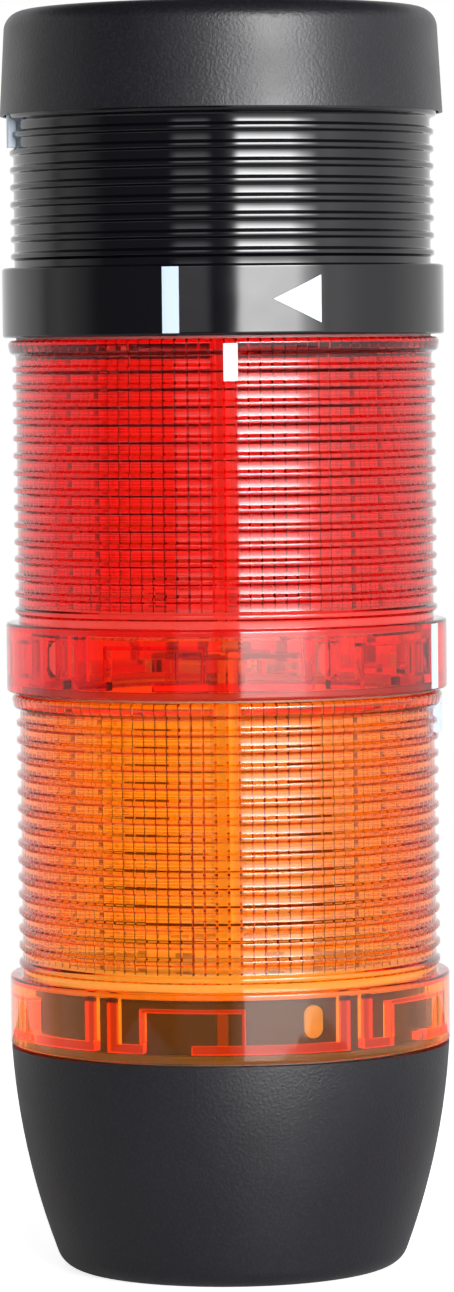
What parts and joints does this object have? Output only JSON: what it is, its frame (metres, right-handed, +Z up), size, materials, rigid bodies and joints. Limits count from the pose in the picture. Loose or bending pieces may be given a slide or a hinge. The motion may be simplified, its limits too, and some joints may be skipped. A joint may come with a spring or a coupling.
{
  "type": "stack light",
  "caption": "Modular stack light: tapered base, clear ribbed amber and red light modules, ribbed sounder and plain cap, joined by twist bayonets.",
  "frame": {"origin": "centre of the base's bottom face, on the surface that the light stands on", "axes": "+Z up the stack; -Y is the front, where the sounder's white arrow and the red module's white bar show"},
  "size_m": [0.0701, 0.0702, 0.1996],
  "materials": {
    "matt_black": "matte",
    "gloss_black": "gloss",
    "clear_amber": "gloss",
    "clear_red": "gloss",
    "white_mark": "satin",
    "black_rubber": "matte",
    "clear_rubber": "satin",
    "white_moulding": "satin",
    "brass_strip": "satin",
    "dark_board": "satin",
    "circuit_board": "satin",
    "led_lamp": "gloss",
    "black_moulding": "matte",
    "grey_moulding": "matte",
    "zinc_steel": "satin"
  },
  "bodies": {
    "base": {"base_cup": "matt_black", "base_collar": "gloss_black", "base_seal_ring": "clear_rubber", "base_index_bar": "white_mark", "base_contact_carrier": "white_moulding", "base_contact_strips": "brass_strip", "deck_screws": "zinc_steel", "base_gasket": "black_rubber", "cable_grommet": "black_rubber", "terminal_block": "grey_moulding", "terminal_clamps": "zinc_steel", "terminal_screws": "zinc_steel"},
    "amber_module": {"amber_lens": "clear_amber", "amber_seal_ring": "clear_rubber", "amber_index_bar": "white_mark", "amber_band_line": "white_mark", "amber_band_arrow": "white_mark", "amber_contact_carrier": "white_moulding", "amber_contact_strips": "brass_strip", "amber_contact_pins": "brass_strip", "amber_led_tower": "dark_board", "amber_leds": "led_lamp", "amber_driver_parts": "black_moulding"},
    "red_module": {"red_lens": "clear_red", "red_seal_ring": "clear_rubber", "red_index_bar": "white_mark", "red_band_line": "white_mark", "red_band_arrow": "white_mark", "red_contact_carrier": "white_moulding", "red_contact_strips": "brass_strip", "red_contact_pins": "brass_strip", "red_led_tower": "dark_board", "red_leds": "led_lamp", "red_driver_parts": "black_moulding"},
    "sounder_module": {"sounder_housing": "gloss_black", "sounder_seal_ring": "clear_rubber", "sounder_index_bar": "white_mark", "sounder_band_line": "white_mark", "sounder_band_arrow": "white_mark", "sounder_board": "circuit_board", "sounder_contact_pins": "brass_strip", "resonator_case": "black_moulding", "piezo_disc": "brass_strip", "sounder_components": "black_moulding"},
    "cap": {"cap_shell": "matt_black"}
  },
  "joints": [
    {"name": "amber_bayonet", "type": "hinge", "parent": "base", "child": "amber_module", "pos_m": [0, 0, 0.036], "axis": [0, 0, 1], "range_deg": [0, 15]},
    {"name": "red_bayonet", "type": "hinge", "parent": "amber_module", "child": "red_module", "pos_m": [0, 0, 0.09202], "axis": [0, 0, 1], "range_deg": [0, 15]},
    {"name": "sounder_bayonet", "type": "hinge", "parent": "red_module", "child": "sounder_module", "pos_m": [0, 0, 0.14804], "axis": [0, 0, 1], "range_deg": [0, 15]},
    {"name": "cap_bayonet", "type": "hinge", "parent": "sounder_module", "child": "cap", "pos_m": [0, 0, 0.18495], "axis": [0, 0, 1], "range_deg": [0, 15]}
  ]
}
